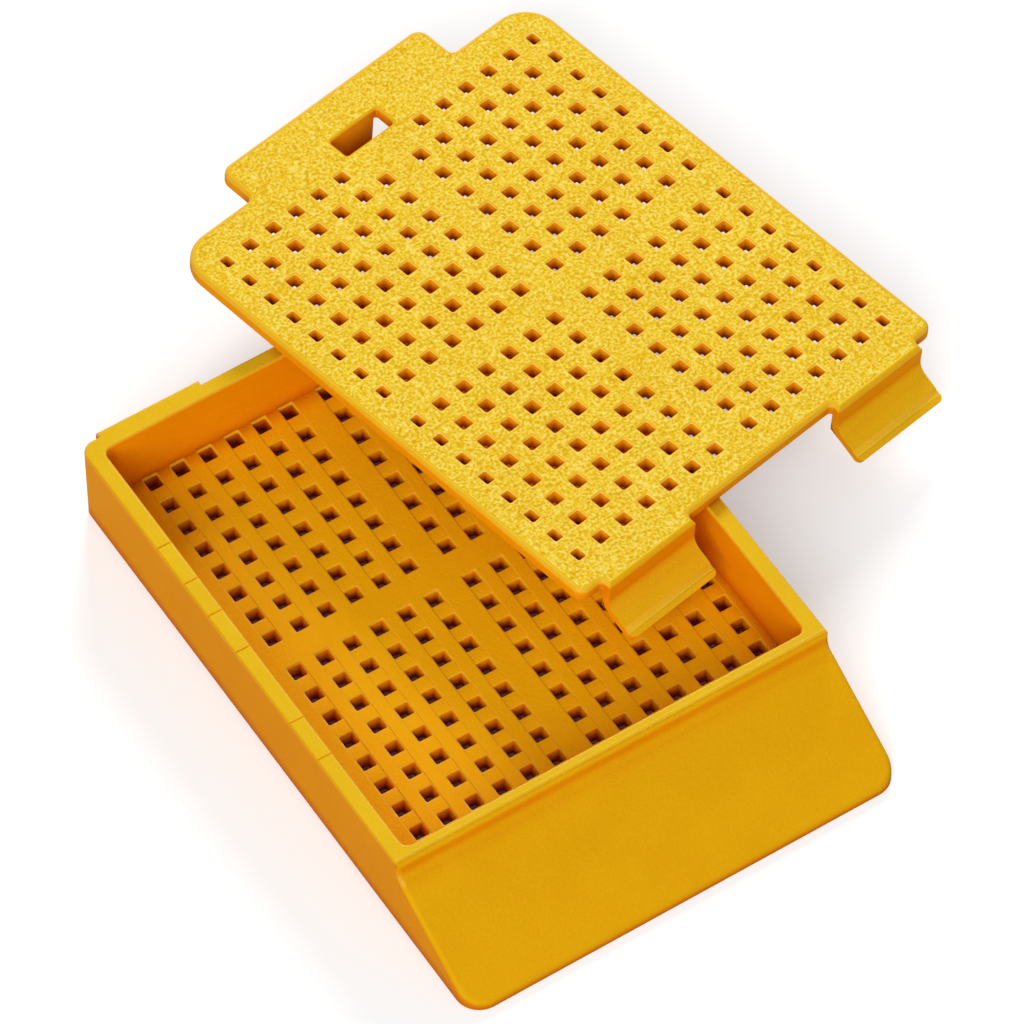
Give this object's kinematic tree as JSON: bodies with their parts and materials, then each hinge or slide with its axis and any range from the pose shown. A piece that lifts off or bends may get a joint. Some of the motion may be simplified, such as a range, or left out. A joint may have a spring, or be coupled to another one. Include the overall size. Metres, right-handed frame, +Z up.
{
  "type": "tissue cassette",
  "caption": "Moulded plastic histology cassette: a perforated open tray with a slanted writing face, and its perforated clip-on lid, taken off and lying turned across one side of the tray.",
  "frame": {"origin": "middle of the tray's footprint, on the surface that the cassette stands on", "axes": "+Z up, +Y from the writing face to the back wall, +X to the right seen from the writing face"},
  "size_m": [0.0453, 0.0554, 0.0078],
  "materials": {
    "tray_plastic": "satin moulded acetal, golden yellow all through",
    "lid_plastic": "same golden yellow acetal with a coarse sparkling moulded grain on its top face"
  },
  "bodies": {
    "tray": {"tray": "tray_plastic"},
    "lid": {"lid": "lid_plastic"}
  },
  "joints": [
    {"name": "lid_lift", "type": "slide", "parent": "tray", "child": "lid", "axis": [0, 0, 1], "range_m": [0, 0.03]}
  ]
}
